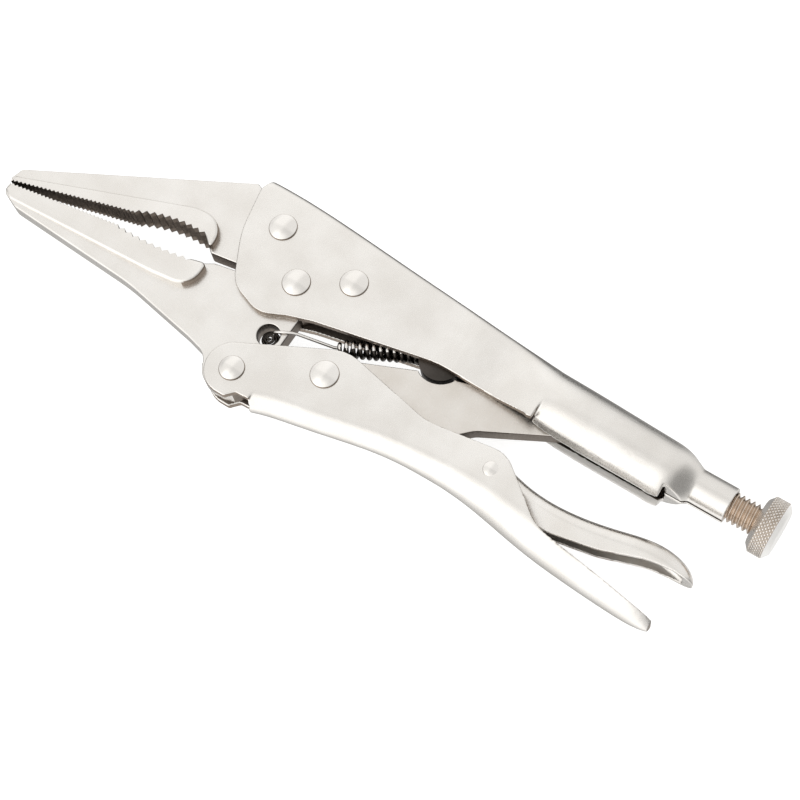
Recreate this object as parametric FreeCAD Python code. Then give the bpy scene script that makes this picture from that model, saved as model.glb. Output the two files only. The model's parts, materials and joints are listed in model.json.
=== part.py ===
import FreeCAD, Part
import math
import os

V = FreeCAD.Vector

# Long-nose locking pliers, lying on one side, locked with the jaw tips together.
# Millimetres. X runs along the adjusting screw towards its knob, Y from the lower handle to
# the upper handle, Z through the thickness. While modelling, the main pivot is at (0, 0, 0).

# Pivots of the toggle linkage
JAW_HANDLE_PIVOT = (-0.5, -28.8)
LINK_PIVOT = (21.2, -17.8)
LINK_END = (85.5, 6.5)
LEVER_PIVOT = (71.7, -17.8)
FRONT_RIVET = (-12.3, 11.6)
REAR_RIVET = (13.3, 7.6)
SCREW_AXIS_Y = 6.5

# Thicknesses, measured from the middle plane
SHEET = 1.9
WEB_HALF = 2.6
CHANNEL_HALF = 2.7
WALL_HALF = CHANNEL_HALF + SHEET
LINK_HALF = 2.35
PAD_HALF_REAR = 5.1
PAD_HALF_TIP = 2.9
PAD_REAR_X = -20.0

# Rivets and pins
RIVET_HEAD_RADIUS = 3.9
EAR_RIVET_HEAD_RADIUS = 3.5
RIVET_HEAD_HEIGHT = 1.35
RIVET_SHANK_RADIUS = 2.5
LEVER_PIN_RADIUS = 1.5
LEVER_PIN_HEAD_RADIUS = 2.1
LEVER_PIN_HEAD_HEIGHT = 0.6
LEVER_PIN_GRIP_HALF = 6.3
RUNNING_CLEARANCE = 0.05

# Jaws
HUB_RADIUS = 9.4
HUB_GAP = 0.4
EAR_RADIUS = 6.6
SPRING_HOLE = (1.5, -15.6)
SPRING_HOLE_RADIUS = 3.1
FINE_PITCH = 1.25
FINE_DEPTH = 0.5
COARSE_TEETH = 10
COARSE_DEPTH = 0.9
TIP_X = -87.3

# Toggle link
LINK_FRONT_RADIUS = 5.9
LINK_REAR_RADIUS = 4.0
LINK_NOTCH = (44.1, 1.8)
LINK_NOTCH_RADIUS = 6.6

# Adjusting screw, a 5/16-18 thread
THREAD_RADIUS = 7.94 / 2
THREAD_ROOT_RADIUS = 3.25
POINT_RADIUS = 2.8
SCREW_CHAMFER = 0.8
SCREW_POINT_X = 93.6
POINT_END_X = 97.0
NECK_START_X = 113.0
NECK_END_X = 125.7
NECK_RADIUS = 4.8
KNOB_START_X = 133.0
KNOB_END_X = 139.3
KNOB_RADIUS = 7.7
KNOB_FACE_RADIUS = 6.1
KNOB_CHAMFER = 1.3

# Spring between the lower jaw and the upper handle
SPRING_WIRE = 1.1
SPRING_COIL_RADIUS = 2.4
SPRING_FRONT = (6.8, -13.4)
SPRING_REAR = (38.9, 1.75)
SPRING_FRONT_LEG = 11.0
SPRING_ANCHOR_RADIUS = 5.9

# A round corner stops this short of a full half circle
CORNER_REST = 0.05
# Longer than anything here, for cutters that go right through
BIG = 200.0


def rounded_wire(corners, z=0.0):
    """Closed wire through (x, y, radius) corners; a radius of 0 keeps a corner sharp."""
    count = len(corners)
    bends = []
    for i in range(count):
        here = V(corners[i][0], corners[i][1], z)
        back = V(corners[i - 1][0], corners[i - 1][1], z) - here
        ahead = V(corners[(i + 1) % count][0], corners[(i + 1) % count][1], z) - here
        back.normalize()
        ahead.normalize()
        half = back.getAngle(ahead) / 2
        radius = corners[i][2]
        if radius == 0:
            bends.append((here, None, here))
            continue
        setback = radius / math.tan(half)
        inward = (back + ahead).normalize()
        middle = here + inward * (radius / math.sin(half) - radius)
        bends.append((here + back * setback, middle, here + ahead * setback))
    edges = []
    for i in range(count):
        start, middle, end = bends[i]
        if middle is not None:
            edges.append(Part.Arc(start, middle, end).toShape())
        following = bends[(i + 1) % count][0]
        if (following - end).Length > 1e-3:
            edges.append(Part.makeLine(end, following))
    return Part.Wire(edges)


def plate(corners, z_low, z_high):
    """Flat plate with a rounded outline, between two heights."""
    face = Part.Face(rounded_wire(corners, z_low))
    return face.extrude(V(0, 0, z_high - z_low))


def disc(centre, radius, z_low, z_high):
    return Part.makeCylinder(radius, z_high - z_low, V(centre[0], centre[1], z_low), V(0, 0, 1))


def bar_along_x(radius, x_low, x_high):
    """Round bar on the screw axis."""
    return Part.makeCylinder(radius, x_high - x_low, V(x_low, SCREW_AXIS_Y, 0), V(1, 0, 0))


def block(x_low, x_high, y_low, y_high, z_half):
    return Part.makeBox(x_high - x_low, y_high - y_low, 2 * z_half, V(x_low, y_low, -z_half))


def section(x, top, bottom, half_width, top_radius, bottom_radius):
    """Closed cross-section of a folded handle in the plane X = x."""
    corners = [
        (half_width, top, top_radius),
        (-half_width, top, top_radius),
        (-half_width, bottom, bottom_radius),
        (half_width, bottom, bottom_radius),
    ]
    wire = rounded_wire(corners)
    wire.Placement = FreeCAD.Placement(V(x, 0, 0), FreeCAD.Rotation(V(0, 1, 0), 90))
    return wire


def loft(sections):
    return Part.makeLoft(sections, True, False)


def revolve_about_screw(profile):
    """Turned part: (x, radius) points turned about the screw axis."""
    points = [V(x, SCREW_AXIS_Y + radius, 0) for x, radius in profile]
    points.append(points[0])
    face = Part.Face(Part.makePolygon(points))
    return face.revolve(V(0, SCREW_AXIS_Y, 0), V(1, 0, 0), 360)


def domed_rivet(centre, shank_radius, head_radius, head_height, grip_half):
    """Rivet with a low dome formed on each side of the walls it holds."""
    dome_radius = (head_radius ** 2 + head_height ** 2) / (2 * head_height)
    rivet = disc(centre, shank_radius, -grip_half - 0.1, grip_half + 0.1)
    for side in (1, -1):
        middle = V(centre[0], centre[1], side * (grip_half + head_height - dome_radius))
        ball = Part.makeSphere(dome_radius, middle)
        low = min(side * grip_half, side * (grip_half + head_height + 1))
        head = ball.common(disc(centre, head_radius + 1, low, low + head_height + 1))
        rivet = rivet.fuse(head)
    return rivet.removeSplitter()


def toothed_line(start, end, count, depth):
    """Saw-tooth points along a straight line, the notches cut to the left of its direction."""
    along = V(end[0] - start[0], end[1] - start[1], 0)
    across = V(-along.y, along.x, 0).normalize()
    points = []
    for i in range(count):
        crest = V(start[0], start[1], 0) + along * (i / count)
        notch = V(start[0], start[1], 0) + along * ((i + 0.5) / count) + across * depth
        points.append((crest.x, crest.y, 0))
        points.append((notch.x, notch.y, 0))
    return points


def toothed_arc(start, middle, end, count, depth):
    """Saw-tooth points along an arc, the notches cut to the left of its direction."""
    curve = Part.Arc(V(*start, 0), V(*middle, 0), V(*end, 0))
    first = curve.FirstParameter
    span = curve.LastParameter - first
    points = []
    for i in range(count):
        crest = curve.value(first + span * i / count)
        place = first + span * (i + 0.5) / count
        tangent = curve.tangent(place)[0]
        if tangent.x * (end[0] - start[0]) < 0:
            tangent = tangent * -1
        notch = curve.value(place) + V(-tangent.y, tangent.x, 0) * depth
        points.append((crest.x, crest.y, 0))
        points.append((notch.x, notch.y, 0))
    return points


def pad_wedge():
    """Space that the gripping pads fill: they thin down from the throat to the tip."""
    corners = [
        V(TIP_X - 1, -BIG, -PAD_HALF_TIP),
        V(TIP_X - 1, -BIG, PAD_HALF_TIP),
        V(PAD_REAR_X, -BIG, PAD_HALF_REAR),
        V(PAD_REAR_X, -BIG, -PAD_HALF_REAR),
        V(TIP_X - 1, -BIG, -PAD_HALF_TIP),
    ]
    return Part.Face(Part.makePolygon(corners)).extrude(V(0, 2 * BIG, 0))


# Tooth lines, from the tip to the throat
UPPER_FINE_START = (-86.6, -14.5)
UPPER_FINE_END = (-50.0, -5.2)
UPPER_COARSE_MIDDLE = (-39.5, -1.7)
UPPER_COARSE_END = (-28.8, -1.3)
LOWER_FINE_START = (-86.4, -14.9)
LOWER_FINE_END = (-52.0, -10.3)
LOWER_COARSE_MIDDLE = (-40.0, -10.2)
LOWER_COARSE_END = (-28.3, -8.6)


def fine_count(start, end):
    return round(math.dist(start, end) / FINE_PITCH)


def upper_teeth():
    fine = toothed_line(UPPER_FINE_START, UPPER_FINE_END,
                        fine_count(UPPER_FINE_START, UPPER_FINE_END), FINE_DEPTH)
    coarse = toothed_arc(UPPER_FINE_END, UPPER_COARSE_MIDDLE, UPPER_COARSE_END,
                         COARSE_TEETH, COARSE_DEPTH)
    return fine + coarse + [(*UPPER_COARSE_END, 0)]


def lower_teeth():
    fine = toothed_line(LOWER_FINE_END, LOWER_FINE_START,
                        fine_count(LOWER_FINE_START, LOWER_FINE_END), FINE_DEPTH)
    coarse = toothed_arc(LOWER_COARSE_END, LOWER_COARSE_MIDDLE, LOWER_FINE_END,
                         COARSE_TEETH, COARSE_DEPTH)
    return coarse + fine + [(*LOWER_FINE_START, 0)]


def fixed_jaw():
    """Upper jaw: a plate riveted inside the upper handle, with thick gripping pads."""
    throat = [(-25.6, -4.0, 0.8), (-8.0, -1.4, 0)]
    inside = [(12.0, -0.5, 0), (19.5, 2.2, 4), (19.5, 13.5, 4), (0.0, 19.0, 5), (-23.7, 18.7, 0)]
    nose = [(-26.6, 19.9, 1.0), (-86.2, -9.8, 1.6), (TIP_X, -13.4, 0.8)]
    web = plate(upper_teeth() + throat + inside + nose, -WEB_HALF, WEB_HALF)
    web = web.cut(disc((0, 0), HUB_RADIUS + HUB_GAP, -BIG, BIG))
    pad_back = [(-25.6, -4.0, 0.8), (-26.0, 5.0, 6.8), (-36.0, 4.9, 14),
                (-84.5, -11.8, 0), (-86.5, -12.2, 0)]
    pad = plate(upper_teeth() + pad_back, -BIG, BIG).common(pad_wedge())
    jaw = web.fuse(pad)
    for centre in (FRONT_RIVET, REAR_RIVET):
        jaw = jaw.cut(disc(centre, RIVET_SHANK_RADIUS, -BIG, BIG))
    return jaw.removeSplitter()


def lower_jaw():
    """Moving jaw: turns on the main pivot and carries the lower handle on its ear."""
    ear_x, ear_y = JAW_HANDLE_PIVOT
    ear_left = ear_x - EAR_RADIUS
    ear_right = ear_x + EAR_RADIUS
    ear_low = ear_y - EAR_RADIUS
    ear_round = EAR_RADIUS - CORNER_REST
    throat = [(-25.4, -7.3, 1.0), (-23.0, -5.9, 0.8), (-8.0, -3.0, 0)]
    neck = [(0.0, 0.0, 0), (6.0, -6.0, 0), (6.0, -14.0, 0), (ear_right, -22.8, 2),
            (ear_right, ear_low, ear_round), (ear_left, ear_low, ear_round)]
    belly = [(-9.8, -28.6, 6), (-17.0, -26.8, 14), (-40.0, -22.6, 60), (-81.0, -20.2, 4),
             (-87.2, -17.6, 2.6)]
    outline = lower_teeth() + belly[::-1] + neck[::-1] + throat[::-1]
    web = plate(outline, -WEB_HALF, WEB_HALF)
    web = web.fuse(disc((0, 0), HUB_RADIUS, -WEB_HALF, WEB_HALF))
    pad_back = [(-86.5, -17.2, 0), (-83.5, -19.0, 0), (-36.0, -17.3, 20), (-23.6, -16.1, 6),
                (-23.6, -7.5, 1.5)]
    pad = plate(lower_teeth() + pad_back, -BIG, BIG).common(pad_wedge())
    jaw = web.fuse(pad)
    jaw = jaw.cut(disc((0, 0), RIVET_SHANK_RADIUS + RUNNING_CLEARANCE, -BIG, BIG))
    jaw = jaw.cut(disc(JAW_HANDLE_PIVOT, RIVET_SHANK_RADIUS + RUNNING_CLEARANCE, -BIG, BIG))
    jaw = jaw.cut(disc(SPRING_HOLE, SPRING_HOLE_RADIUS, -BIG, BIG))
    return jaw.removeSplitter()


# Upper handle: (x, top, half width, bend radius) stations of the folded head, then
# (x, top, bottom, half width) stations of the curled tube
HEAD_STATIONS = [
    (-30.0, 22.1, WALL_HALF, 2.4), (-14.0, 22.4, WALL_HALF, 2.4), (4.0, 21.2, WALL_HALF, 2.4),
    (25.0, 19.2, WALL_HALF, 2.4), (45.0, 17.4, WALL_HALF, 2.5), (58.0, 16.3, WALL_HALF, 3.0),
    (64.0, 15.9, 5.1, 4.0), (68.5, 15.6, 6.2, 5.6), (73.0, 15.3, 7.4, 7.35),
]
TUBE_STATIONS = [
    (73.0, 15.3, -1.9, 7.4), (78.0, 15.1, -2.5, 8.4), (84.0, 14.9, -2.8, 8.7),
    (96.0, 14.4, -3.0, 8.7), (106.0, 14.0, -3.1, 8.5), (110.0, 13.6, -2.6, 8.1),
    (113.0, 12.6, -0.6, 6.5), (115.5, 11.4, 1.4, 5.0), (118.0, 10.9, 2.1, 4.4),
]
TUBE_START_X = 73.0
SLOT_HALF = 3.3
SEAM_HALF = 0.7


def head_loft(inset):
    """Folded head, open below; inset shrinks it by the sheet thickness."""
    wires = []
    for x, top, half_width, bend in HEAD_STATIONS:
        half = half_width - inset
        wires.append(section(x, top - inset, -20 - inset, half, bend - inset, 0))
    return loft(wires)


def tube_loft(inset, stations):
    """Curled tube, shoulder and neck, before the slot is opened."""
    wires = []
    for x, top, bottom, half_width in stations:
        half = half_width - inset
        deep = (top - bottom) / 2 - inset
        radius = min(half, deep) - CORNER_REST
        wires.append(section(x, top - inset, bottom + inset, half, radius, radius))
    return loft(wires)


def upper_handle_shell():
    """Upper handle: one sheet folded round the jaw, curled into a tube and a threaded neck."""
    outline = [
        (-24.3, 18.4, 0.6), (-22.6, 22.9, 0), (TUBE_START_X, 25.0, 0), (TUBE_START_X, -1.3, 0),
        (71.6, -1.3, 0.4), (70.4, -0.9, 0), (44.0, -0.1, 30), (10.0, -7.0, 25), (3.0, -9.2, 5),
        (-4.0, -12.4, 8), (-14.4, -8.7, 9), (-21.6, 5.0, 30),
    ]
    head = head_loft(0).common(plate(outline, -BIG, BIG))
    shell = head.fuse(tube_loft(0, TUBE_STATIONS))
    shell = shell.fuse(bar_along_x(NECK_RADIUS, NECK_START_X + 2, NECK_END_X))
    shell = shell.cut(head_loft(SHEET))
    shell = shell.cut(tube_loft(SHEET, TUBE_STATIONS[:-3]))
    slot = block(TUBE_START_X - 1, 110.5, -12, 1, SLOT_HALF)
    relief = block(109.6, 114.6, -12, 0.9, BIG)
    seam = block(110, NECK_END_X + 1, -12, SCREW_AXIS_Y, SEAM_HALF)
    bore = bar_along_x(THREAD_RADIUS + RUNNING_CLEARANCE, 105, NECK_END_X + 1)
    shell = shell.cut(slot).cut(relief).cut(seam).cut(bore)
    for centre in (FRONT_RIVET, REAR_RIVET, (0, 0)):
        shell = shell.cut(disc(centre, RIVET_SHANK_RADIUS, -BIG, BIG))
    return shell


# Lower handle: (x, bottom, half width) stations of the folded sheet
GRIP_STATIONS = [
    (8.0, -35.4, WALL_HALF), (20.0, -32.3, WALL_HALF), (34.0, -29.3, WALL_HALF),
    (48.0, -27.0, 4.8), (59.0, -26.6, 5.3), (70.0, -27.3, 6.3), (82.0, -29.3, 7.3),
    (94.0, -31.0, 7.7), (106.0, -31.9, 7.7), (114.0, -32.3, 7.2), (120.0, -32.3, 5.7),
    (124.2, -31.6, 3.2),
]
WEB_START_X = 8.0
GRIP_CAVITY_END = -2


def grip_loft(inset, stations):
    wires = []
    for x, bottom, half_width in stations:
        half = half_width - inset
        wires.append(section(x, 0 + inset, bottom + inset, half, 0.05, half - CORNER_REST))
    return loft(wires)


def lower_handle_shell():
    """Lower handle: folded sheet, narrow at the jaw, flared and closed at the tail."""
    outline = [
        (-8.0, -24.2, 7.4), (-8.0, -36.2, 7.4), (2.0, -36.2, 0.8), (4.2, -33.8, 0.8),
        (WEB_START_X, -33.6, 0), (WEB_START_X, -45, 0), (130, -45, 0), (130, -30.0, 0),
        (117.0, -28.7, 30), (89.0, -24.9, 14), (72.8, -12.2, 9), (50.5, -14.9, 18),
        (22.5, -9.1, 12),
    ]
    walls = block(-20, WEB_START_X, -60, 0, WALL_HALF)
    shell = walls.fuse(grip_loft(0, GRIP_STATIONS)).common(plate(outline, -BIG, BIG))
    shell = shell.cut(block(-30, WEB_START_X + 0.5, -70, 10, CHANNEL_HALF))
    shell = shell.cut(grip_loft(SHEET, GRIP_STATIONS[:GRIP_CAVITY_END]))
    shell = shell.cut(disc(JAW_HANDLE_PIVOT, RIVET_SHANK_RADIUS, -BIG, BIG))
    shell = shell.cut(disc(LINK_PIVOT, RIVET_SHANK_RADIUS, -BIG, BIG))
    shell = shell.cut(disc(LEVER_PIVOT, LEVER_PIN_RADIUS, -BIG, BIG))
    return shell


def toggle_link():
    """Flat link from the lower handle to the screw's tip, notched clear of the spring's boss."""
    outline = [
        (18.6, -12.3, 0), (27.3, -9.2, 6), (40.0, -3.9, 0.8), (50.6, -0.9, 0.8), (57.0, 1.0, 8),
        (83.9, 10.1, 0), (87.3, 2.9, 0), (78.0, -1.9, 20), (61.8, -10.3, 6), (56.5, -15.6, 10),
        (23.5, -23.2, 0),
    ]
    link = plate(outline, -LINK_HALF, LINK_HALF)
    link = link.fuse(disc(LINK_PIVOT, LINK_FRONT_RADIUS, -LINK_HALF, LINK_HALF))
    link = link.fuse(disc(LINK_END, LINK_REAR_RADIUS, -LINK_HALF, LINK_HALF))
    link = link.cut(disc(LINK_NOTCH, LINK_NOTCH_RADIUS, -BIG, BIG))
    link = link.cut(disc(LINK_PIVOT, RIVET_SHANK_RADIUS + RUNNING_CLEARANCE, -BIG, BIG))
    return link.removeSplitter()


# Release lever: (x, top, half width) stations of the pressed channel
LEVER_STATIONS = [
    (60.5, -15.6, 3.3), (66.0, -14.2, 3.5), (72.0, -13.6, 3.6), (80.0, -15.2, 3.7),
    (88.5, -16.0, 4.1), (96.5, -15.4, 4.5), (106.5, -13.4, 4.9), (115.0, -11.6, 5.2),
    (120.5, -11.7, 5.0), (125.0, -13.1, 4.2), (127.8, -15.6, 2.3),
]
LEVER_SHEET = 1.4
LEVER_DEPTH = 13.0
LEVER_BEND_SHARE = 0.7
LEVER_BOTTOM_SHARE = 0.48


def lever_section(x, top, half):
    """Channel whose side walls lean in towards its open bottom."""
    bend = half * LEVER_BEND_SHARE
    half_below = half * LEVER_BOTTOM_SHARE
    bottom = top - LEVER_DEPTH
    corners = [
        (half, top, bend),
        (-half, top, bend),
        (-half_below, bottom, 0),
        (half_below, bottom, 0),
    ]
    wire = rounded_wire(corners)
    wire.Placement = FreeCAD.Placement(V(x, 0, 0), FreeCAD.Rotation(V(0, 1, 0), 90))
    return wire


def lever_loft(inset, stations):
    return loft([lever_section(x, top - inset, half - inset) for x, top, half in stations])


def release_lever():
    """Lever nested in the lower handle; its nose pushes the link off dead centre."""
    outline = [
        (60.0, -17.0, 1.5), (66.0, -22.0, 4), (76.0, -24.3, 6), (92.0, -23.6, 20),
        (104.0, -21.2, 20), (116.0, -17.0, 20), (122.0, -16.3, 4), (130.0, -16.3, 0),
        (130.0, -5.0, 0), (60.0, -5.0, 0),
    ]
    lever = lever_loft(0, LEVER_STATIONS).common(plate(outline, -BIG, BIG))
    lever = lever.cut(lever_loft(LEVER_SHEET, LEVER_STATIONS[:-1]))
    lever = lever.cut(disc(LEVER_PIVOT, LEVER_PIN_RADIUS + RUNNING_CLEARANCE, -BIG, BIG))
    return lever


def adjusting_screw():
    """Threaded shank of the adjusting screw, as a cylinder over the thread's crests."""
    return revolve_about_screw([
        (POINT_END_X, 0), (POINT_END_X, THREAD_ROOT_RADIUS),
        (POINT_END_X + SCREW_CHAMFER, THREAD_RADIUS),
        (KNOB_START_X, THREAD_RADIUS), (KNOB_START_X, 0),
    ])


def knob():
    """Round knob pressed on the screw's end."""
    return revolve_about_screw([
        (KNOB_START_X, 0), (KNOB_START_X, KNOB_FACE_RADIUS),
        (KNOB_START_X + KNOB_CHAMFER, KNOB_RADIUS), (KNOB_END_X - KNOB_CHAMFER, KNOB_RADIUS),
        (KNOB_END_X, KNOB_FACE_RADIUS), (KNOB_END_X, 0),
    ])


def screw_point():
    """Plain rounded tip of the screw, on which the link's end bears."""
    return revolve_about_screw([
        (SCREW_POINT_X, 0), (SCREW_POINT_X, POINT_RADIUS - SCREW_CHAMFER),
        (SCREW_POINT_X + SCREW_CHAMFER, POINT_RADIUS), (POINT_END_X, POINT_RADIUS),
        (POINT_END_X, 0),
    ])


def tension_spring():
    """Spring as its outer shape: a straight leg of wire, then a coil barrel up to the boss."""
    front = V(*SPRING_FRONT, 0)
    rear = V(*SPRING_REAR, 0)
    length = (rear - front).Length
    along = (rear - front).normalize()
    coil_start = front + along * SPRING_FRONT_LEG
    leg = Part.makeCylinder(SPRING_WIRE / 2, length, front, along)
    barrel = Part.makeCylinder(SPRING_COIL_RADIUS, length - SPRING_FRONT_LEG, coil_start, along)
    return barrel.fuse(leg).removeSplitter()


def spring_anchor():
    """Round boss across the channel that holds the spring's rear end."""
    return disc(LINK_NOTCH, SPRING_ANCHOR_RADIUS, -CHANNEL_HALF, CHANNEL_HALF)


def parts_of_pliers():
    big_rivet = (RIVET_SHANK_RADIUS, RIVET_HEAD_RADIUS, RIVET_HEAD_HEIGHT, WALL_HALF)
    ear_rivet = (RIVET_SHANK_RADIUS, EAR_RIVET_HEAD_RADIUS, RIVET_HEAD_HEIGHT, WALL_HALF)
    small_rivet = (
        LEVER_PIN_RADIUS, LEVER_PIN_HEAD_RADIUS, LEVER_PIN_HEAD_HEIGHT, LEVER_PIN_GRIP_HALF,
    )
    return {
        "upper_handle_shell": upper_handle_shell(),
        "fixed_jaw": fixed_jaw(),
        "front_jaw_rivet": domed_rivet(FRONT_RIVET, *big_rivet),
        "rear_jaw_rivet": domed_rivet(REAR_RIVET, *big_rivet),
        "main_pivot_rivet": domed_rivet((0, 0), *big_rivet),
        "lower_jaw": lower_jaw(),
        "jaw_handle_rivet": domed_rivet(JAW_HANDLE_PIVOT, *ear_rivet),
        "lower_handle_shell": lower_handle_shell(),
        "link_rivet": domed_rivet(LINK_PIVOT, *big_rivet),
        "toggle_link": toggle_link(),
        "release_lever": release_lever(),
        "lever_pin": domed_rivet(LEVER_PIVOT, *small_rivet),
        "adjusting_screw": adjusting_screw(),
        "adjusting_knob": knob(),
        "screw_point": screw_point(),
        "tension_spring": tension_spring(),
        "spring_anchor": spring_anchor(),
    }


def bottom_centre(shapes):
    """Point under the middle of the whole object."""
    box = FreeCAD.BoundBox()
    for shape in shapes:
        box.add(shape.optimalBoundingBox())
    return V((box.XMin + box.XMax) / 2, (box.YMin + box.YMax) / 2, box.ZMin)


parts = parts_of_pliers()
os.makedirs("parts", exist_ok=True)
origin = bottom_centre(parts.values())
print("main pivot in the part's frame:", -origin.x, -origin.y, -origin.z)
for name, shape in parts.items():
    shape.translate(origin * -1)
    solids = len(shape.Solids)
    print(name, "valid", shape.isValid(), "solids", solids, "volume", round(shape.Volume, 1))
    if solids == 1:
        shape = shape.Solids[0]
    shape.exportStep("parts/" + name + ".step")
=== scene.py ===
import json
import math

import bmesh
import bpy
from mathutils import Matrix, Vector
from mathutils.bvhtree import BVHTree
from mathutils.geometry import tessellate_polygon


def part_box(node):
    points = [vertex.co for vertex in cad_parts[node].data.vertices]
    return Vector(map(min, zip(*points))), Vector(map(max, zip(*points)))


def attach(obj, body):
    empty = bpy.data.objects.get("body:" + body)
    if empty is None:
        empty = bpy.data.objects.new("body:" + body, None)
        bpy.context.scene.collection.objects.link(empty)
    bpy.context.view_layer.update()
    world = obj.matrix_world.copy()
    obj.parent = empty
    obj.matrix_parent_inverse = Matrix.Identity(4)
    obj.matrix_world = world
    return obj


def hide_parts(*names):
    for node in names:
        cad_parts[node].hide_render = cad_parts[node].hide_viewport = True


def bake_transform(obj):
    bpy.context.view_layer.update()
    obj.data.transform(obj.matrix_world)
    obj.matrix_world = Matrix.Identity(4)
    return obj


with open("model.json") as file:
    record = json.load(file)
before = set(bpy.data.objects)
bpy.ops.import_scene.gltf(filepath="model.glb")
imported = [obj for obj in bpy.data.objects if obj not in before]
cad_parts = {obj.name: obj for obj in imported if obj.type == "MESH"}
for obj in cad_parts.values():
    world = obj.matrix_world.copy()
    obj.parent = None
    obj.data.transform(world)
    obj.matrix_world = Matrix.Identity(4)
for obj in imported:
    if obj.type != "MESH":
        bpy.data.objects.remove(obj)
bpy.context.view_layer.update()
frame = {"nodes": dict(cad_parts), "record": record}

MM = 0.001
NODES = frame["nodes"]
JOINTS = {joint["name"]: joint for joint in frame["record"]["behaviour"]["joints"]}
PIVOT = Vector(JOINTS["jaw_pivot"]["pos_m"])  # main pivot, on the middle plane
SCREW_AXIS = Vector(JOINTS["screw_turn"]["pos_m"])  # a point on the adjusting screw's axis
X = Vector((1, 0, 0))
Y = Vector((0, 1, 0))
Z = Vector((0, 0, 1))


def at(x, y, z=0.0):
    """A place in millimetres from the main pivot, as a point in the frame."""
    return PIVOT + Vector((x, y, z)) * MM


# ---------------------------------------------------------------- camera

LOOK = Vector((-0.28, 0.27, -0.9212)).normalized()
AIM = at(40.3, -12.3)
DISTANCE = 0.45
SCREW_LEAN = math.radians(30)
LENS = 79.0
SENSOR_WIDTH = 36
CLIP_START = 0.01


def make_camera():
    """Camera high over the tool, towards the knob and the lower handle.

    It is turned so that the screw leans down to the right."""
    data = bpy.data.cameras.new("camera")
    data.sensor_width = SENSOR_WIDTH
    data.lens = LENS
    data.clip_start = CLIP_START
    camera = bpy.data.objects.new("camera", data)
    bpy.context.collection.objects.link(camera)
    along = (X - LOOK * LOOK.x).normalized()
    across = LOOK.cross(along)
    right = along * math.cos(SCREW_LEAN) - across * math.sin(SCREW_LEAN)
    up = -(along * math.sin(SCREW_LEAN) + across * math.cos(SCREW_LEAN))
    turn = Matrix((right, up, -LOOK)).transposed().to_4x4()
    camera.matrix_world = Matrix.Translation(AIM - LOOK * DISTANCE) @ turn
    bpy.context.scene.camera = camera


# ---------------------------------------------------------------- materials

def link(material, start, end):
    material.node_tree.links.new(start, end)


def noise(material, size, detail):
    """Solid noise in the object's own space, with features of a size in millimetres."""
    nodes = material.node_tree.nodes
    place = nodes.new("ShaderNodeTexCoord").outputs["Object"]
    texture = nodes.new("ShaderNodeTexNoise")
    texture.inputs["Scale"].default_value = 1 / (size * MM)
    texture.inputs["Detail"].default_value = detail
    link(material, place, texture.inputs["Vector"])
    return texture.outputs["Fac"]


def spread(material, value, low, high, start=0.3, end=0.7):
    """Map a noise value from start..end to low..high."""
    node = material.node_tree.nodes.new("ShaderNodeMapRange")
    node.inputs["From Min"].default_value = start
    node.inputs["From Max"].default_value = end
    node.inputs["To Min"].default_value = low
    node.inputs["To Max"].default_value = high
    link(material, value, node.inputs["Value"])
    return node.outputs["Result"]


def blend_colours(material, factor, first, second):
    node = material.node_tree.nodes.new("ShaderNodeMix")
    node.data_type = "RGBA"
    node.inputs["A"].default_value = (*first, 1)
    node.inputs["B"].default_value = (*second, 1)
    link(material, factor, node.inputs["Factor"])
    return node.outputs["Result"]


CLOUD_SIZE = 1 / 0.09
BUMP_STRENGTH = 0.6
PAINTED_LIGHT_METAL = 0.25  # metallic share of faces painted light: they stay light where they look at something dark


def plated(name, clean, dull, roughness, grain=0.25, grain_height=0.010, metallic=1.0):
    """Metal with cloudy plating, a fine pebbled grain and uneven gloss; sizes in millimetres."""
    material = bpy.data.materials.new(name)
    material.use_nodes = True
    shader = material.node_tree.nodes["Principled BSDF"]
    shader.inputs["Metallic"].default_value = metallic
    clouds = noise(material, CLOUD_SIZE, 4.0)
    grains = noise(material, grain, 2.0)
    tone = spread(material, clouds, 0.0, 1.0, 0.35, 0.65)
    link(material, blend_colours(material, tone, clean, dull), shader.inputs["Base Color"])
    gloss = spread(material, grains, roughness * 0.8, roughness * 1.25)
    link(material, gloss, shader.inputs["Roughness"])
    bump = material.node_tree.nodes.new("ShaderNodeBump")
    bump.inputs["Strength"].default_value = BUMP_STRENGTH
    bump.inputs["Distance"].default_value = grain_height * MM
    link(material, grains, bump.inputs["Height"])
    link(material, bump.outputs["Normal"], shader.inputs["Normal"])
    return material


HANDLE = plated("handle_nickel", (0.84, 0.82, 0.79), (0.77, 0.745, 0.71), 0.28)
JAW = plated("jaw_nickel", (0.84, 0.82, 0.79), (0.78, 0.755, 0.72), 0.30)
RIVET = plated("rivet_nickel", (0.88, 0.86, 0.83), (0.82, 0.795, 0.76), 0.15, 0.6, 0.006)
LINK = plated("link_nickel", (0.78, 0.75, 0.71), (0.70, 0.66, 0.61), 0.32)
LEVER = plated("lever_nickel", (0.88, 0.86, 0.83), (0.80, 0.77, 0.73), 0.26)
SCREW = plated("screw_steel", (0.72, 0.62, 0.53), (0.54, 0.45, 0.37), 0.28, 0.5)
KNOB = plated("knob_nickel", (0.86, 0.82, 0.78), (0.77, 0.73, 0.69), 0.24)
# Painted light: the knob's end face is near white and mostly non-metallic, so it stays bright towards the
# dark end screen.
KNOB_END_PAINTED_LIGHT = plated("knob_end_painted_light", (0.97, 0.96, 0.94), (0.93, 0.92, 0.90), 0.34, metallic=PAINTED_LIGHT_METAL)
# Painted shade in the knurl's grooves.
KNURL_GROOVE_SHADE = plated("knurl_groove_painted_shade", (0.66, 0.60, 0.53), (0.54, 0.48, 0.42), 0.36, 0.4)
# Painted shade inside the release lever, lighter than inside the handles.
LEVER_INSIDE_PAINTED_SHADE = plated("lever_inside_painted_shade", (0.62, 0.60, 0.57), (0.50, 0.47, 0.44), 0.42, 0.5)
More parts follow.
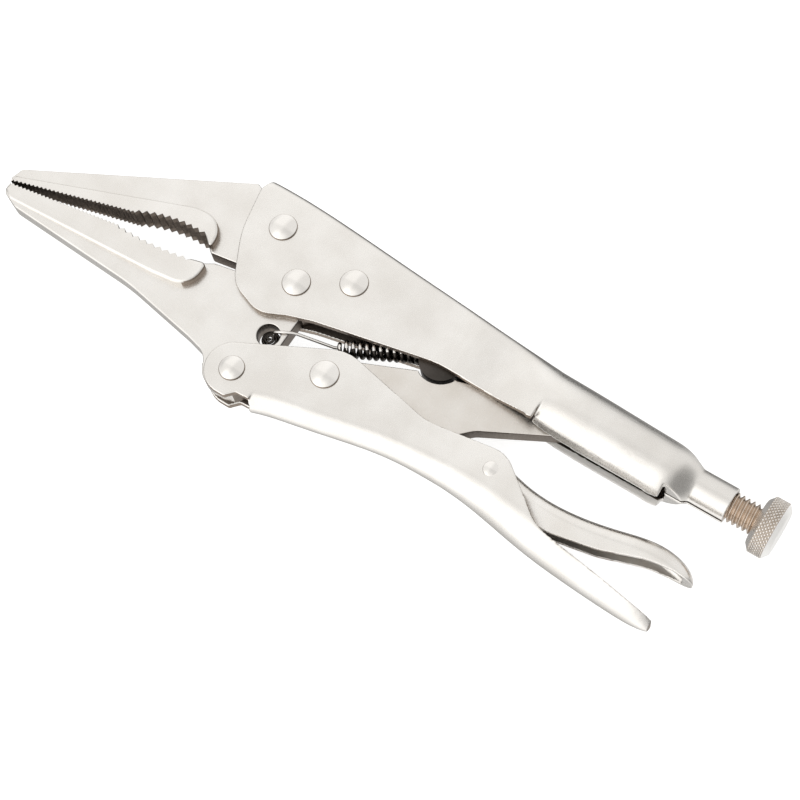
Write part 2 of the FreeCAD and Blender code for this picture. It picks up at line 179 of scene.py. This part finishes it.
# Bright wire of the spring's leg, also used as the painted highlight on the coil.
SPRING_BRIGHT_AND_HIGHLIGHT = plated("spring_bright_and_painted_highlight", (0.88, 0.86, 0.83), (0.80, 0.78, 0.75), 0.22, 0.6)
# Painted shade: the coil, the eye and the anchor boss are painted near black.
SPRING_PAINTED_SHADE = plated("spring_painted_shade", (0.085, 0.075, 0.068), (0.05, 0.045, 0.04), 0.34, 0.6)
# Painted light on the lips of the tube's slot.
SLOT_LIP_PAINTED_LIGHT = plated("slot_lip_painted_light", (0.94, 0.92, 0.89), (0.88, 0.86, 0.83), 0.62, metallic=PAINTED_LIGHT_METAL)
# Dark brown of bare cut edges, also used as painted shade: sheet rims, jaw pads' rear faces, the lower
# handle's tail edges and the rivets' lowest ring.
SHEARED_EDGE_AND_SHADE = plated("sheared_edge_and_painted_shade", (0.37, 0.31, 0.26), (0.26, 0.21, 0.17), 0.42, 0.4, 0.03)
# Painted shade: darker still, on the jaw webs' rear faces, the spring hole's wall and the toggle link's
# sides.
PAINTED_SHADE_EDGE = plated("painted_shade_edge", (0.24, 0.205, 0.175), (0.15, 0.125, 0.105), 0.40, 0.4, 0.03)
# Painted shade inside the channels, where walls face each other.
PAINTED_SHADE_INSIDE = plated("painted_shade_inside", (0.20, 0.17, 0.145), (0.12, 0.10, 0.085), 0.48, 0.5, 0.03)
# Painted shade on the jaws' gripping faces, dark between the jaws, with a rougher finish.
TEETH_PAINTED_SHADE = plated("tooth_painted_shade", (0.25, 0.205, 0.17), (0.15, 0.12, 0.10), 0.50, 0.35, 0.04)

# ---------------------------------------------------------------- mesh helpers

NUDGE = 0.05 * MM  # how far a ray starts off the face that it leaves


def new_object(name, mesh):
    piece = bpy.data.objects.new(name, mesh)
    bpy.context.collection.objects.link(piece)
    return piece


def baked(piece):
    """Replace a piece's mesh by what its modifiers make of it."""
    graph = bpy.context.evaluated_depsgraph_get()
    mesh = bpy.data.meshes.new_from_object(piece.evaluated_get(graph))
    mesh.name = piece.name
    piece.modifiers.clear()
    piece.data = mesh
    return piece


def shade(piece, angle=35):
    piece.data.shade_smooth()
    piece.data.set_sharp_from_angle(angle=math.radians(angle))


def paint(piece, material, *others):
    """Give a piece its material, and other materials to the faces that a rule picks."""
    piece.data.materials.clear()
    piece.data.materials.append(material)
    for other, rule in others:
        piece.data.materials.append(other)
    for face in piece.data.polygons:
        face.material_index = 0
        for index, (other, rule) in enumerate(others):
            if rule(face):
                face.material_index = index + 1


def hollow_rule(piece, reach):
    """Rule that picks the faces that look at another wall of the same piece, as a channel's inside does;
    these get painted shade.
    """
    tree = BVHTree.FromObject(piece, bpy.context.evaluated_depsgraph_get())

    def rule(face):
        start = face.center + face.normal * NUDGE
        return tree.ray_cast(start, face.normal, reach * MM)[0] is not None

    return rule


def stand_for(piece, node, body):
    """Let a piece take the place of a CAD node on its body."""
    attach(piece, body)
    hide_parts(node)


def pressed_sheet(node, voxel, rounds, target):
    """Copy of a folded-sheet node with its edges rounded over, as pressing and tumbling leave them.

    It is remeshed with a voxel size in millimetres, smoothed some rounds and thinned to about a target
    number of triangles."""
    piece = new_object(node + "_pressed", NODES[node].data.copy())
    remesh = piece.modifiers.new("even_mesh", "REMESH")
    remesh.mode = "VOXEL"
    remesh.voxel_size = voxel * MM
    smooth = piece.modifiers.new("round_edges", "SMOOTH")
    smooth.factor = 0.5
    smooth.iterations = rounds
    baked(piece)
    count = len(piece.data.polygons) * 2
    thin = piece.modifiers.new("thin_out", "DECIMATE")
    thin.ratio = min(1.0, target / count)
    baked(piece)
    piece.data.shade_smooth()
    return piece


SAME_PLACE = 1e-7
ON_PLANE = 1e-8
STRAIGHT = 0.002  # sine of the least turn that counts as a bend of an outline


def chained(edges):
    """Closed loops of points from loose edges."""
    near = {}
    for first, second in edges:
        near.setdefault(first, []).append(second)
        near.setdefault(second, []).append(first)
    loops = []
    while near:
        start = next(iter(near))
        loop = [start]
        here = start
        previous = None
        while True:
            ahead = [v for v in near[here] if v is not previous]
            previous, here = here, ahead[0]
            if here is start:
                break
            loop.append(here)
        for vert in loop:
            del near[vert]
        loops.append([Vector((v.co.x, v.co.y)) for v in loop])
    return loops


def area_of(loop):
    """Area of a flat loop, positive when it runs anticlockwise."""
    return sum(a.cross(b) for a, b in zip(loop, loop[1:] + loop[:1])) / 2


def outlines(node, height):
    """Outlines of a node cut level at a height above the middle plane.

    The outer one comes first and runs anticlockwise; holes run clockwise."""
    work = bmesh.new()
    work.from_mesh(NODES[node].data)
    bmesh.ops.remove_doubles(work, verts=work.verts, dist=SAME_PLACE)
    everything = work.verts[:] + work.edges[:] + work.faces[:]
    cut = bmesh.ops.bisect_plane(work, geom=everything, dist=ON_PLANE,
                                 plane_co=PIVOT + Z * height * MM, plane_no=Z)
    edges = [tuple(g.verts) for g in cut["geom_cut"] if isinstance(g, bmesh.types.BMEdge)]
    loops = chained(edges)
    work.free()
    loops.sort(key=lambda loop: -abs(area_of(loop)))
    neat = []
    for i, loop in enumerate(loops):
        if (area_of(loop) > 0) != (i == 0):
            loop.reverse()
        bends = [p for a, p, b in zip(loop[-1:] + loop[:-1], loop, loop[1:] + loop[:1])
                 if abs((p - a).normalized().cross((b - p).normalized())) > STRAIGHT]
        neat.append(bends)
    return neat


EDGE_STEPS = 4
TOOTH_EDGE = 0.07
TOOTH_SIDE = 2.2 * MM  # a shorter side belongs to a tooth
TOOTH_TURN = 40
LEAST_MITER = 0.45


def inset_of(loop, i, edge):
    """Where a corner of an outline goes when the outline shrinks: a vector for the full edge radius."""
    before = loop[i - 1]
    here = loop[i]
    after = loop[(i + 1) % len(loop)]
    first = (here - before).normalized()
    second = (after - here).normalized()
    turn = abs(math.degrees(first.angle(second, 0)))
    short = max((here - before).length, (after - here).length) < TOOTH_SIDE
    radius = TOOTH_EDGE if turn > TOOTH_TURN and short else edge
    inward = Vector((-first.y - second.y, first.x + second.x))
    inward.normalize()
    miter = max(LEAST_MITER, inward.dot(Vector((-first.y, first.x))))
    return inward * radius * MM / miter


def eased_plate(name, loops, half, edge):
    """Plate with rounded edges over flat outlines; half(x) is half its thickness at a place."""
    verts = []
    faces = []
    caps = {1: [], -1: []}
    for loop in loops:
        count = len(loop)
        insets = [inset_of(loop, i, edge) for i in range(count)]
        rings = []
        for side in (-1, 1):
            levels = range(EDGE_STEPS + 1) if side > 0 else range(EDGE_STEPS, -1, -1)
            for level in levels:
                angle = math.radians(90 * level / EDGE_STEPS)
                ring = []
                for here, inset in zip(loop, insets):
                    spot = here + inset * (1 - math.cos(angle))
                    drop = inset.length * (1 - math.sin(angle))
                    height = PIVOT.z + side * (half(here.x) * MM - drop)
                    ring.append(len(verts))
                    verts.append(Vector((spot.x, spot.y, height)))
                rings.append(ring)
        for lower, upper in zip(rings, rings[1:]):
            for i in range(count):
                beside = (i + 1) % count
                faces.append((lower[i], lower[beside], upper[beside], upper[i]))
        caps[-1].append(rings[0])
        caps[1].append(rings[-1])
    for side, cap in caps.items():
        order = [index for ring in cap for index in ring]
        flat = [[Vector((verts[index].x, verts[index].y, 0)) for index in ring] for ring in cap]
        for corners in tessellate_polygon(flat):
            triangle = [order[c] for c in corners]
            a, b, c = (verts[index] for index in triangle)
            if (b - a).cross(c - a).z * side < 0:
                triangle.reverse()
            faces.append(tuple(triangle))
    mesh = bpy.data.meshes.new(name)
    mesh.from_pydata(verts, [], faces)
    mesh.validate()
    piece = new_object(name, mesh)
    shade(piece, 30)
    weigh = piece.modifiers.new("flat_faces_flat", "WEIGHTED_NORMAL")
    weigh.keep_sharp = True
    return baked(piece)


def grid_piece(name, rows, columns, point, closed):
    """Quad mesh over rows x columns of points; closed joins the last column to the first."""
    verts = [point(row, column) for row in range(rows) for column in range(columns)]
    faces = []
    last = columns if closed else columns - 1
    for row in range(rows - 1):
        for column in range(last):
            beside = (column + 1) % columns
            faces.append((row * columns + column, row * columns + beside,
                          (row + 1) * columns + beside, (row + 1) * columns + column))
    mesh = bpy.data.meshes.new(name)
    mesh.from_pydata(verts, [], faces)
    return new_object(name, mesh)


def turned(name, profile, origin, axis, around=72):
    """Lathe piece: (along, radius) pairs in millimetres, about an axis through origin."""
    side = axis.orthogonal().normalized()
    other = axis.cross(side)

    def point(row, column):
        along, radius = profile[row]
        angle = 2 * math.pi * column / around
        return origin + (axis * along + (side * math.cos(angle) + other * math.sin(angle)) * radius) * MM

    return grid_piece(name, len(profile), around, point, True)


def arc(centre, radius, start, end, steps):
    """Points of an arc in a profile's plane, angles in degrees."""
    points = []
    for i in range(steps + 1):
        angle = math.radians(start + (end - start) * i / steps)
        points.append((centre[0] + radius * math.cos(angle), centre[1] + radius * math.sin(angle)))
    return points


# ---------------------------------------------------------------- jaws

WEB_HALF = 2.6
WEB_EDGE = 0.45
PAD_CUT = 2.7  # just above the web, where a cut meets the pad alone
PAD_HALF_TIP = 2.9
PAD_HALF_REAR = 5.1
PAD_EDGE = 0.80
PAD_TIP = at(-88.3, 0).x
PAD_REAR = at(-20, 0).x
THROAT = at(-8, 0).x
SPRING_HOLE = at(1.5, -15.6)
HOLE_REACH = 3.3 * MM  # a little more than the hole's radius


def web_half(x):
    """Half thickness of the jaws' webs, the same all along."""
    return WEB_HALF


def pad_half(x):
    """Half thickness of the gripping pads, which thin down towards the tip."""
    share = (x - PAD_TIP) / (PAD_REAR - PAD_TIP)
    return PAD_HALF_TIP + (PAD_HALF_REAR - PAD_HALF_TIP) * share


def is_side(face):
    """Faces round the sides of a plate, not on its two flat sides."""
    return abs(face.normal.z) < 0.6


def make_jaw(node, body, facing):
    """Jaw as a web with a raised pad on each face; facing is +1 when its teeth look up."""
    web = eased_plate(node + "_web", outlines(node, 0.0), web_half, WEB_EDGE)
    pad = eased_plate(node + "_pad", outlines(node, PAD_CUT), pad_half, PAD_EDGE)

    # Gripping faces get the dark tooth colour: painted shade between the jaws.
    def gripping(face):
        return is_side(face) and face.center.x < THROAT and face.normal.y * facing > 0.4

    def rear(face):
        return is_side(face) and face.normal.x > 0.5

    def in_hole(face):
        return is_side(face) and (face.center - SPRING_HOLE).xy.length < HOLE_REACH

    # Painted shade: the webs' rear faces and the hole's wall are dark, and the pads' rear faces take the
    # cut-edge brown.
    paint(web, JAW, (PAINTED_SHADE_EDGE, rear), (PAINTED_SHADE_EDGE, in_hole), (TEETH_PAINTED_SHADE, gripping))
    paint(pad, JAW, (SHEARED_EDGE_AND_SHADE, rear), (TEETH_PAINTED_SHADE, gripping))
    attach(web, body)
    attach(pad, body)
    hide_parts(node)


def make_jaws():
    make_jaw("fixed_jaw", "upper_handle", -1)
    make_jaw("lower_jaw", "lower_jaw", 1)


# ---------------------------------------------------------------- handles, link and lever

LINK_HALF = 2.35
LINK_EDGE = 0.35
LOOK_ACROSS = 17.0  # farther than one wall of a channel is from the other
SHEET_DEPTH = 3.4  # more than the sheet's thickness
TUBE_START = at(73, 0).x
SLOT_END = at(109.6, 0).x
SLOT_TOP = at(0, -0.4).y
SLOT_HALF = 3.3 * MM
LIP_REACH = 0.45 * MM
FLARE_START = at(82, 0).x
TAIL_START = at(108, 0).x  # a little before the lower handle turns solid
RIM_WIDTH = 1.3 * MM


def rim_rule(piece):
    """Rule that picks the sheared rims of a sheet: faces with more metal behind them than its thickness.
    They get the dark cut-edge colour, which is partly painted shade.
    """
    tree = BVHTree.FromObject(piece, bpy.context.evaluated_depsgraph_get())

    def rule(face):
        if abs(face.normal.z) > 0.55 or face.center.x > TAIL_START:
            return False
        start = face.center - face.normal * NUDGE
        return tree.ray_cast(start, -face.normal, SHEET_DEPTH * MM)[0] is None

    return rule


def tail_shade_rule(piece):
    """Rule that picks the upward-facing edges along the flared rear of the lower handle, and its end, for
    painted shade in the cut-edge colour.
    """
    tree = BVHTree.FromObject(piece, bpy.context.evaluated_depsgraph_get())

    def rule(face):
        if face.center.x > TAIL_START and face.normal.x > 0.8:
            return True
        if face.center.x < FLARE_START or face.normal.y < 0.3:
            return False
        start = face.center - face.normal * NUDGE
        outward = Z if face.center.z > PIVOT.z else -Z
        return tree.ray_cast(start, outward, RIM_WIDTH)[0] is not None

    return rule


def is_painted_light_lip(face):
    """Cut edges of the slot along the bottom of the upper handle's tube, painted light: near white and
    mostly non-metallic.
    """
    across = abs(abs(face.center.z - PIVOT.z) - SLOT_HALF)
    return TUBE_START < face.center.x < SLOT_END and face.center.y < SLOT_TOP and across < LIP_REACH


def make_sheet(node, voxel, rounds, target, material, inside, body):
    """One of the three folded sheets, with dark rims (cut-edge colour and painted shade), a painted-shade
    inside and, on the handles, painted light on the slot's lips or painted shade on the tail.
    """
    piece = pressed_sheet(node, voxel, rounds, target)
    rules = [(SHEARED_EDGE_AND_SHADE, rim_rule(piece)), (inside, hollow_rule(piece, LOOK_ACROSS))]
    if node == "upper_handle_shell":
        rules.append((SLOT_LIP_PAINTED_LIGHT, is_painted_light_lip))
    if node == "lower_handle_shell":
        rules.append((SHEARED_EDGE_AND_SHADE, tail_shade_rule(piece)))
    paint(piece, material, *rules)
    stand_for(piece, node, body)


def link_half(x):
    """Half thickness of the toggle link, the same all along."""
    return LINK_HALF


def make_handles():
    make_sheet("upper_handle_shell", 0.25, 4, 180000, HANDLE, PAINTED_SHADE_INSIDE, "upper_handle")
    make_sheet("lower_handle_shell", 0.22, 4, 150000, HANDLE, PAINTED_SHADE_INSIDE, "lower_handle")
    make_sheet("release_lever", 0.18, 3, 80000, LEVER, LEVER_INSIDE_PAINTED_SHADE, "release_lever")
    toggle = eased_plate("toggle_link_eased", outlines("toggle_link", 0.0), link_half, LINK_EDGE)
    # The link's sides are painted dark: painted shade along its edges.
    paint(toggle, LINK, (PAINTED_SHADE_EDGE, is_side))
    stand_for(toggle, "toggle_link", "toggle_link")


# ---------------------------------------------------------------- rivets

WALL_OUTSIDE = 4.6  # from the middle plane to a handle's outer face
LEVER_PIN_SEAT = 6.3
ROLL_SHARE = 0.4  # of a head's rise; the crown takes the rest
ROLL_ROUND = 0.85  # its reach as a share of its rise; 1 follows a circle
ROLL_TURN = 73  # degrees
SHADED_RIM_SHARE = 0.72  # of a head's rise; below it the head is painted dark, a painted shadow where it meets the wall
SUNK = 0.25  # how far a head goes on below the wall that it stands on


def rivet_seat(node):
    """Half the distance between the two faces that a rivet's heads stand on."""
    return LEVER_PIN_SEAT if node == "lever_pin" else WALL_OUTSIDE


def make_rivet(node, body):
    """Rivet with a low crown on each side that rolls over into a steep rim."""
    low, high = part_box(node)
    centre = (Vector(low) + Vector(high)) / 2
    head = (high[0] - low[0]) / 2 / MM
    top = (high[2] - low[2]) / 2 / MM
    rise = top - rivet_seat(node)
    roll = ROLL_SHARE * rise
    crown = rise - roll
    inner = head - roll * ROLL_ROUND
    radius = (inner ** 2 + crown ** 2) / (2 * crown)
    edge_angle = math.degrees(math.asin(inner / radius))
    near = [(top - rise - SUNK, head)]
    near += [(top - rise + roll * math.sin(math.radians(a)),
              head - roll * ROLL_ROUND * (1 - math.cos(math.radians(a)))) for a in range(0, ROLL_TURN, 8)]
    near += arc((top - radius, 0), radius, edge_angle * 0.93, 0, 10)
    profile = [(-along, out) for along, out in reversed(near)] + near
    piece = turned(node + "_formed", profile, centre, Z)
    shade(piece, 40)
    shade_line = (top - rise * SHADED_RIM_SHARE) * MM

    # Lowest ring of the head painted dark: painted shadow where the head meets the wall.
    def rim(face):
        return abs(face.center.z - PIVOT.z) < shade_line

    paint(piece, RIVET, (SHEARED_EDGE_AND_SHADE, rim))
    stand_for(piece, node, body)


def make_rivets():
    for node in ("front_jaw_rivet", "rear_jaw_rivet", "main_pivot_rivet"):
        make_rivet(node, "upper_handle")
    for node in ("jaw_handle_rivet", "link_rivet", "lever_pin"):
        make_rivet(node, "lower_handle")


# ---------------------------------------------------------------- adjusting screw

PITCH = 25.4 / 18
THREAD_DEPTH = 0.86
CREST_SHARE = 0.14  # of half a pitch, flat at the crest and again at the root
RUN_IN = 1.2  # length over which the thread rises from the screw's front end
ON_AXIS = 0.01
TIP_ROUND = 0.9


def screw_profile(turns, crest):
    """Thread's radius in millimetres part of the way round a turn: flat crest, flat root."""
    turn = turns % 1.0
    slope = min(turn, 1 - turn) * 2
    lift = min(1.0, max(0.0, (slope - CREST_SHARE) / (1 - 2 * CREST_SHARE)))
    return crest - THREAD_DEPTH * (1 - lift)


def make_shank():
    """Threaded shank of the adjusting screw, its thread a real helix."""
    low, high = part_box("adjusting_screw")
    crest = (high[1] - low[1]) / 2 / MM
    length = (high[0] - low[0]) / MM
    around = 48
    per_turn = 14
    rows = int(length / PITCH * per_turn)
    start = Vector((low[0], SCREW_AXIS.y, SCREW_AXIS.z))

    def point(row, column):
        along = length * row / (rows - 1)
        angle = 2 * math.pi * column / around
        radius = screw_profile(along / PITCH - column / around, crest)
        root = crest - THREAD_DEPTH
        radius = root + (radius - root) * min(1.0, along / RUN_IN)
        if row == 0:
            radius = ON_AXIS
        out = Y * math.cos(angle) + Z * math.sin(angle)
        return start + X * along * MM + out * radius * MM

    piece = grid_piece("adjusting_screw_thread", rows, around, point, True)
    shade(piece, 50)
    paint(piece, SCREW)
    stand_for(piece, "adjusting_screw", "adjusting_screw")


def make_tip():
    """Plain tip of the adjusting screw, with a rounded front end and a rear end inside the shank."""
    low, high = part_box("screw_point")
    length = (high[0] - low[0]) / MM
    radius = (high[1] - low[1]) / 2 / MM
    profile = [(0, ON_AXIS)] + arc((TIP_ROUND, radius - TIP_ROUND), TIP_ROUND, 180, 90, 6)
    profile += [(length + 0.2, radius)]
    piece = turned("screw_point_turned", profile, Vector((low[0], SCREW_AXIS.y, SCREW_AXIS.z)), X, 48)
    shade(piece, 40)
    paint(piece, SCREW)
    stand_for(piece, "screw_point", "screw_tip")


# ---------------------------------------------------------------- knob

KNURL_DEPTH = 0.32
KNURLS = 46
KNURL_FLAT = 0.45  # of the way from a diamond's middle to its groove
GROOVE_SHARE = 0.45  # of the knurl's depth, below which it is painted darker as shade in the grooves
CHAMFER = 1.25
CHAMFER_DROP = 1.5
CENTRE_RADIUS = 4.2
RIM_ROWS = 44


def make_knob():
    """Knob with a diamond-knurled rim between two chamfers."""
    low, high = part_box("adjusting_knob")
    radius = (high[1] - low[1]) / 2 / MM
    width = (high[0] - low[0]) / MM
    flat = radius - CHAMFER_DROP
    start = Vector((low[0], SCREW_AXIS.y, SCREW_AXIS.z))
    around = KNURLS * 8
    rim = width - 2 * CHAMFER
    lead = 2 * math.pi * radius / KNURLS

    front = [(0.0, ON_AXIS), (0.0, CENTRE_RADIUS), (0.0, flat - 0.3), (0.10, flat - 0.05)]
    front += [(CHAMFER - 0.12, radius - 0.30), (CHAMFER, radius - 0.12)]
    first_rim = len(front)
    last_rim = first_rim + RIM_ROWS
    profile = front + [(CHAMFER + 0.1 + (rim - 0.2) * i / (RIM_ROWS - 1), radius) for i in range(RIM_ROWS)]
    profile += [(width - along, out) for along, out in reversed(front)]

    def ridge(phase):
        return abs(phase % 1.0 * 2 - 1)

    def point(row, column):
        along, out = profile[row]
        angle = 2 * math.pi * column / around
        if first_rim <= row < last_rim:
            turn = column / around * KNURLS
            climb = along / lead
            groove = max(ridge(turn + climb), ridge(turn - climb))
            out -= KNURL_DEPTH * max(0.0, (groove - KNURL_FLAT) / (1 - KNURL_FLAT))
        spoke = Y * math.cos(angle) + Z * math.sin(angle)
        return start + X * along * MM + spoke * out * MM

    # Faces deep in the knurl's grooves get the painted shade.
    def in_shaded_groove(face):
        spot = face.center - start
        out = math.hypot(spot.y, spot.z) / MM
        on_rim = CHAMFER < spot.x / MM < width - CHAMFER
        return on_rim and out < radius - KNURL_DEPTH * GROOVE_SHARE

    # Faces of the knob's end that get the painted light.
    def on_painted_light_end(face):
        return face.normal.x > 0.5 and face.center.x - start.x > (width - CHAMFER) * MM

    piece = grid_piece("adjusting_knob_knurled", len(profile), around, point, True)
    shade(piece, 32)
    paint(piece, KNOB, (KNOB_END_PAINTED_LIGHT, on_painted_light_end), (KNURL_GROOVE_SHADE, in_shaded_groove))
    stand_for(piece, "adjusting_knob", "adjusting_screw")


# ---------------------------------------------------------------- spring

WIRE = 0.56
LEG_WIRE = 0.42
COIL_RADIUS = 1.96
COIL_PITCH = 1.80
SPRING_FRONT = at(6.8, -14.3)
SPRING_REAR = at(38.9, 1.45)
LEG_LENGTH = 13.2
HOOK = at(2.6, -14.2)
HOOK_HEIGHT = 3.1
EYE_TURNS = 3
EYE_RADIUS = 2.4
EYE_SHRINK = 2.05
EYE_LOW = -1.2
EYE_RISE = 2.1
# Painted highlight: coil faces farther than this from the middle plane are painted bright.
HIGHLIGHT_FROM = COIL_RADIUS + WIRE * 0.55


def spring_leg(along, coil_start):
    """Points along the front leg: a hook through the jaw's hole, then straight to the coil."""
    return [
        HOOK + Vector((1.6, 0.9, -3.6)) * MM,
        HOOK + Vector((0.2, 0.2, -3.2)) * MM,
        HOOK + Vector((-0.3, -0.1, -1.8)) * MM,
        HOOK + Vector((-0.3, -0.1, 1.8)) * MM,
        HOOK + Vector((0.3, 0.1, HOOK_HEIGHT)) * MM,
        HOOK + along * 2.5 * MM + Z * (HOOK_HEIGHT + 0.15) * MM,
        HOOK + along * 4.6 * MM + Z * HOOK_HEIGHT * MM,
        HOOK + along * 6.0 * MM + Z * 2.65 * MM,
        coil_start - along * 1.2 * MM + Z * 0.25 * MM,
        coil_start + along * 0.4 * MM,
    ]


def spring_eye():
    """Points along the wire's front end, wound inwards and upwards inside the jaw's hole."""
    steps = EYE_TURNS * 28
    route = []
    for i in range(steps + 1):
        share = i / steps
        angle = 2 * math.pi * EYE_TURNS * share
        radius = EYE_RADIUS - EYE_SHRINK * share
        place = Vector((radius * math.cos(angle), radius * math.sin(angle), EYE_LOW + EYE_RISE * share))
        route.append(SPRING_HOLE + place * MM)
    return route


def spring_coil(along, coil_start):
    """Points along the coils, from the leg to the boss."""
    side = Z.cross(along)
    length = (SPRING_REAR - coil_start).length / MM
    turns = length / COIL_PITCH
    steps = int(turns * 24)
    route = []
    for i in range(steps + 1):
        angle = 2 * math.pi * turns * i / steps
        radius = COIL_RADIUS * min(1.0, 0.2 + i / 8)
        place = coil_start + (SPRING_REAR - coil_start) * i / steps
        route.append(place + (side * math.cos(angle) + Z * math.sin(angle)) * radius * MM)
    return route


def tube_along(name, route, radius, around=12):
    """Round wire through the points of a route."""
    verts = []
    faces = []
    previous = None
    for i, place in enumerate(route):
        ahead = route[min(i + 1, len(route) - 1)] - route[max(i - 1, 0)]
        ahead.normalize()
        if previous is None:
            previous = ahead.orthogonal().normalized()
        out = (previous - ahead * previous.dot(ahead)).normalized()
        previous = out
        other = ahead.cross(out)
        for j in range(around):
            angle = 2 * math.pi * j / around
            verts.append(place + (out * math.cos(angle) + other * math.sin(angle)) * radius * MM)
    for i in range(len(route) - 1):
        for j in range(around):
            beside = (j + 1) % around
            faces.append((i * around + j, i * around + beside,
                          (i + 1) * around + beside, (i + 1) * around + j))
    faces.append(tuple(range(around))[::-1])
    last = (len(route) - 1) * around
    faces.append(tuple(range(last, last + around)))
    mesh = bpy.data.meshes.new(name)
    mesh.from_pydata(verts, [], faces)
    return new_object(name, mesh)


def painted_highlight_side(face):
    """Outermost side of the coils, painted bright over the near-black coil as a painted highlight."""
    return abs(face.center.z - PIVOT.z) > HIGHLIGHT_FROM * MM


def make_spring():
    along = (SPRING_REAR - SPRING_FRONT).normalized()
    coil_start = SPRING_FRONT + along * LEG_LENGTH * MM
    coil = tube_along("tension_spring_coil", spring_coil(along, coil_start), WIRE, 16)
    leg = tube_along("tension_spring_leg", spring_leg(along, coil_start), LEG_WIRE)
    eye = tube_along("tension_spring_eye", spring_eye(), LEG_WIRE)
    # Painted shade: the coil and the eye are painted near black, as shade in the channel and the hole, and
    # the coil's outermost side gets a painted highlight. The leg is the same wire in its bright colour.
    paint(coil, SPRING_PAINTED_SHADE, (SPRING_BRIGHT_AND_HIGHLIGHT, painted_highlight_side))
    paint(leg, SPRING_BRIGHT_AND_HIGHLIGHT)
    paint(eye, SPRING_PAINTED_SHADE)
    for piece in (coil, leg, eye):
        shade(piece, 60)
        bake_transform(piece)
    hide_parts("tension_spring")
    # Painted shade: the anchor boss is painted near black too, as shade behind the spring.
    boss = NODES["spring_anchor"]
    boss.data.materials.clear()
    boss.data.materials.append(SPRING_PAINTED_SHADE)


# ---------------------------------------------------------------- stage

FLOOR_HALF = 3.0


def make_stage():
    """Pale floor, left out of reflections, that glows a little so that it renders white."""
    mesh = bpy.data.meshes.new("floor")
    corners = [(-FLOOR_HALF, -FLOOR_HALF, 0), (FLOOR_HALF, -FLOOR_HALF, 0),
               (FLOOR_HALF, FLOOR_HALF, 0), (-FLOOR_HALF, FLOOR_HALF, 0)]
    mesh.from_pydata(corners, [], [(0, 1, 2, 3)])
    floor = new_object("floor", mesh)
    material = bpy.data.materials.new("floor")
    material.use_nodes = True
    shader = material.node_tree.nodes["Principled BSDF"]
    shader.inputs["Base Color"].default_value = (0.6, 0.6, 0.6, 1)
    shader.inputs["Roughness"].default_value = 0.95
    shader.inputs["Emission Color"].default_value = (1, 1, 1, 1)
    shader.inputs["Emission Strength"].default_value = 0.8
    mesh.materials.append(material)
    floor.visible_glossy = False


# ---------------------------------------------------------------- surround

FAR_SIDE = Vector((-0.28, 0.86, -0.43)).normalized()  # dark screen low on the +Y side
FAR_SIDE_SHARPNESS = 12
FAR_SIDE_DARKNESS = 0.95


def math_node(tree, operation, first, second, third=None):
    """One step of arithmetic on numbers or sockets."""
    node = tree.nodes.new("ShaderNodeMath")
    node.operation = operation
    for socket, value in zip(node.inputs, (first, second, third)):
        if isinstance(value, (int, float)):
            socket.default_value = value
        elif value is not None:
            tree.links.new(value, socket)
    return node.outputs[0]


def ramp(tree, value, start, end, low, high):
    """Smooth change from low to high while a value goes from start to end."""
    node = tree.nodes.new("ShaderNodeMapRange")
    node.interpolation_type = "SMOOTHSTEP"
    node.inputs["From Min"].default_value = start
    node.inputs["From Max"].default_value = end
    node.inputs["To Min"].default_value = low
    node.inputs["To Max"].default_value = high
    tree.links.new(value, node.inputs["Value"])
    return node.outputs["Result"]


def make_surround():
    """White surround, brighter from -Y, with dark screens low on the +Y side and beyond the knob.

    Each value here is how bright the surround is in a direction; x, y and z are the direction's parts."""
    world = bpy.data.worlds.new("studio")
    bpy.context.scene.world = world
    world.use_nodes = True
    tree = world.node_tree
    place = tree.nodes.new("ShaderNodeTexCoord").outputs["Generated"]
    parts = tree.nodes.new("ShaderNodeSeparateXYZ")
    tree.links.new(place, parts.inputs[0])
    x, y, z = parts.outputs
    towards_light = ramp(tree, y, 0.1, -0.7, 0.0, 0.75)
    from_left = ramp(tree, x, -0.80, -0.42, 0.0, 1.0)
    from_right = ramp(tree, x, 0.10, 0.45, 1.0, 0.0)
    near_light = math_node(tree, "MULTIPLY", from_left, from_right)
    near_light = math_node(tree, "MULTIPLY_ADD", near_light, towards_light, 1.0)
    along = ramp(tree, x, -0.36, -0.08, 1.06, 0.88)
    across = ramp(tree, y, 0.15, 0.33, 0.93, 1.05)
    low = math_node(tree, "MULTIPLY_ADD", x, 1.2, z)
    below = ramp(tree, low, -1.26, -0.40, 0.42, 1.0)
    end_screen = ramp(tree, x, 0.50, 0.85, 1.0, 0.40)
    lean = tree.nodes.new("ShaderNodeVectorMath")
    lean.operation = "DOT_PRODUCT"
    lean.inputs[1].default_value = FAR_SIDE
    tree.links.new(place, lean.inputs[0])
    facing = math_node(tree, "MAXIMUM", lean.outputs["Value"], 0.0)
    screen = math_node(tree, "POWER", facing, FAR_SIDE_SHARPNESS)
    shade_off = math_node(tree, "MULTIPLY_ADD", screen, -FAR_SIDE_DARKNESS, 1.0)
    bright = near_light
    for factor in (along, across, below, shade_off, end_screen):
        bright = math_node(tree, "MULTIPLY", bright, factor)
    background = tree.nodes["Background"]
    background.inputs["Color"].default_value = (1.0, 0.99, 0.975, 1)
    tree.links.new(bright, background.inputs["Strength"])


make_camera()
make_jaws()
make_handles()
make_rivets()
make_shank()
make_tip()
make_knob()
make_spring()
make_stage()
make_surround()
bpy.context.scene.view_settings.view_transform = "Standard"
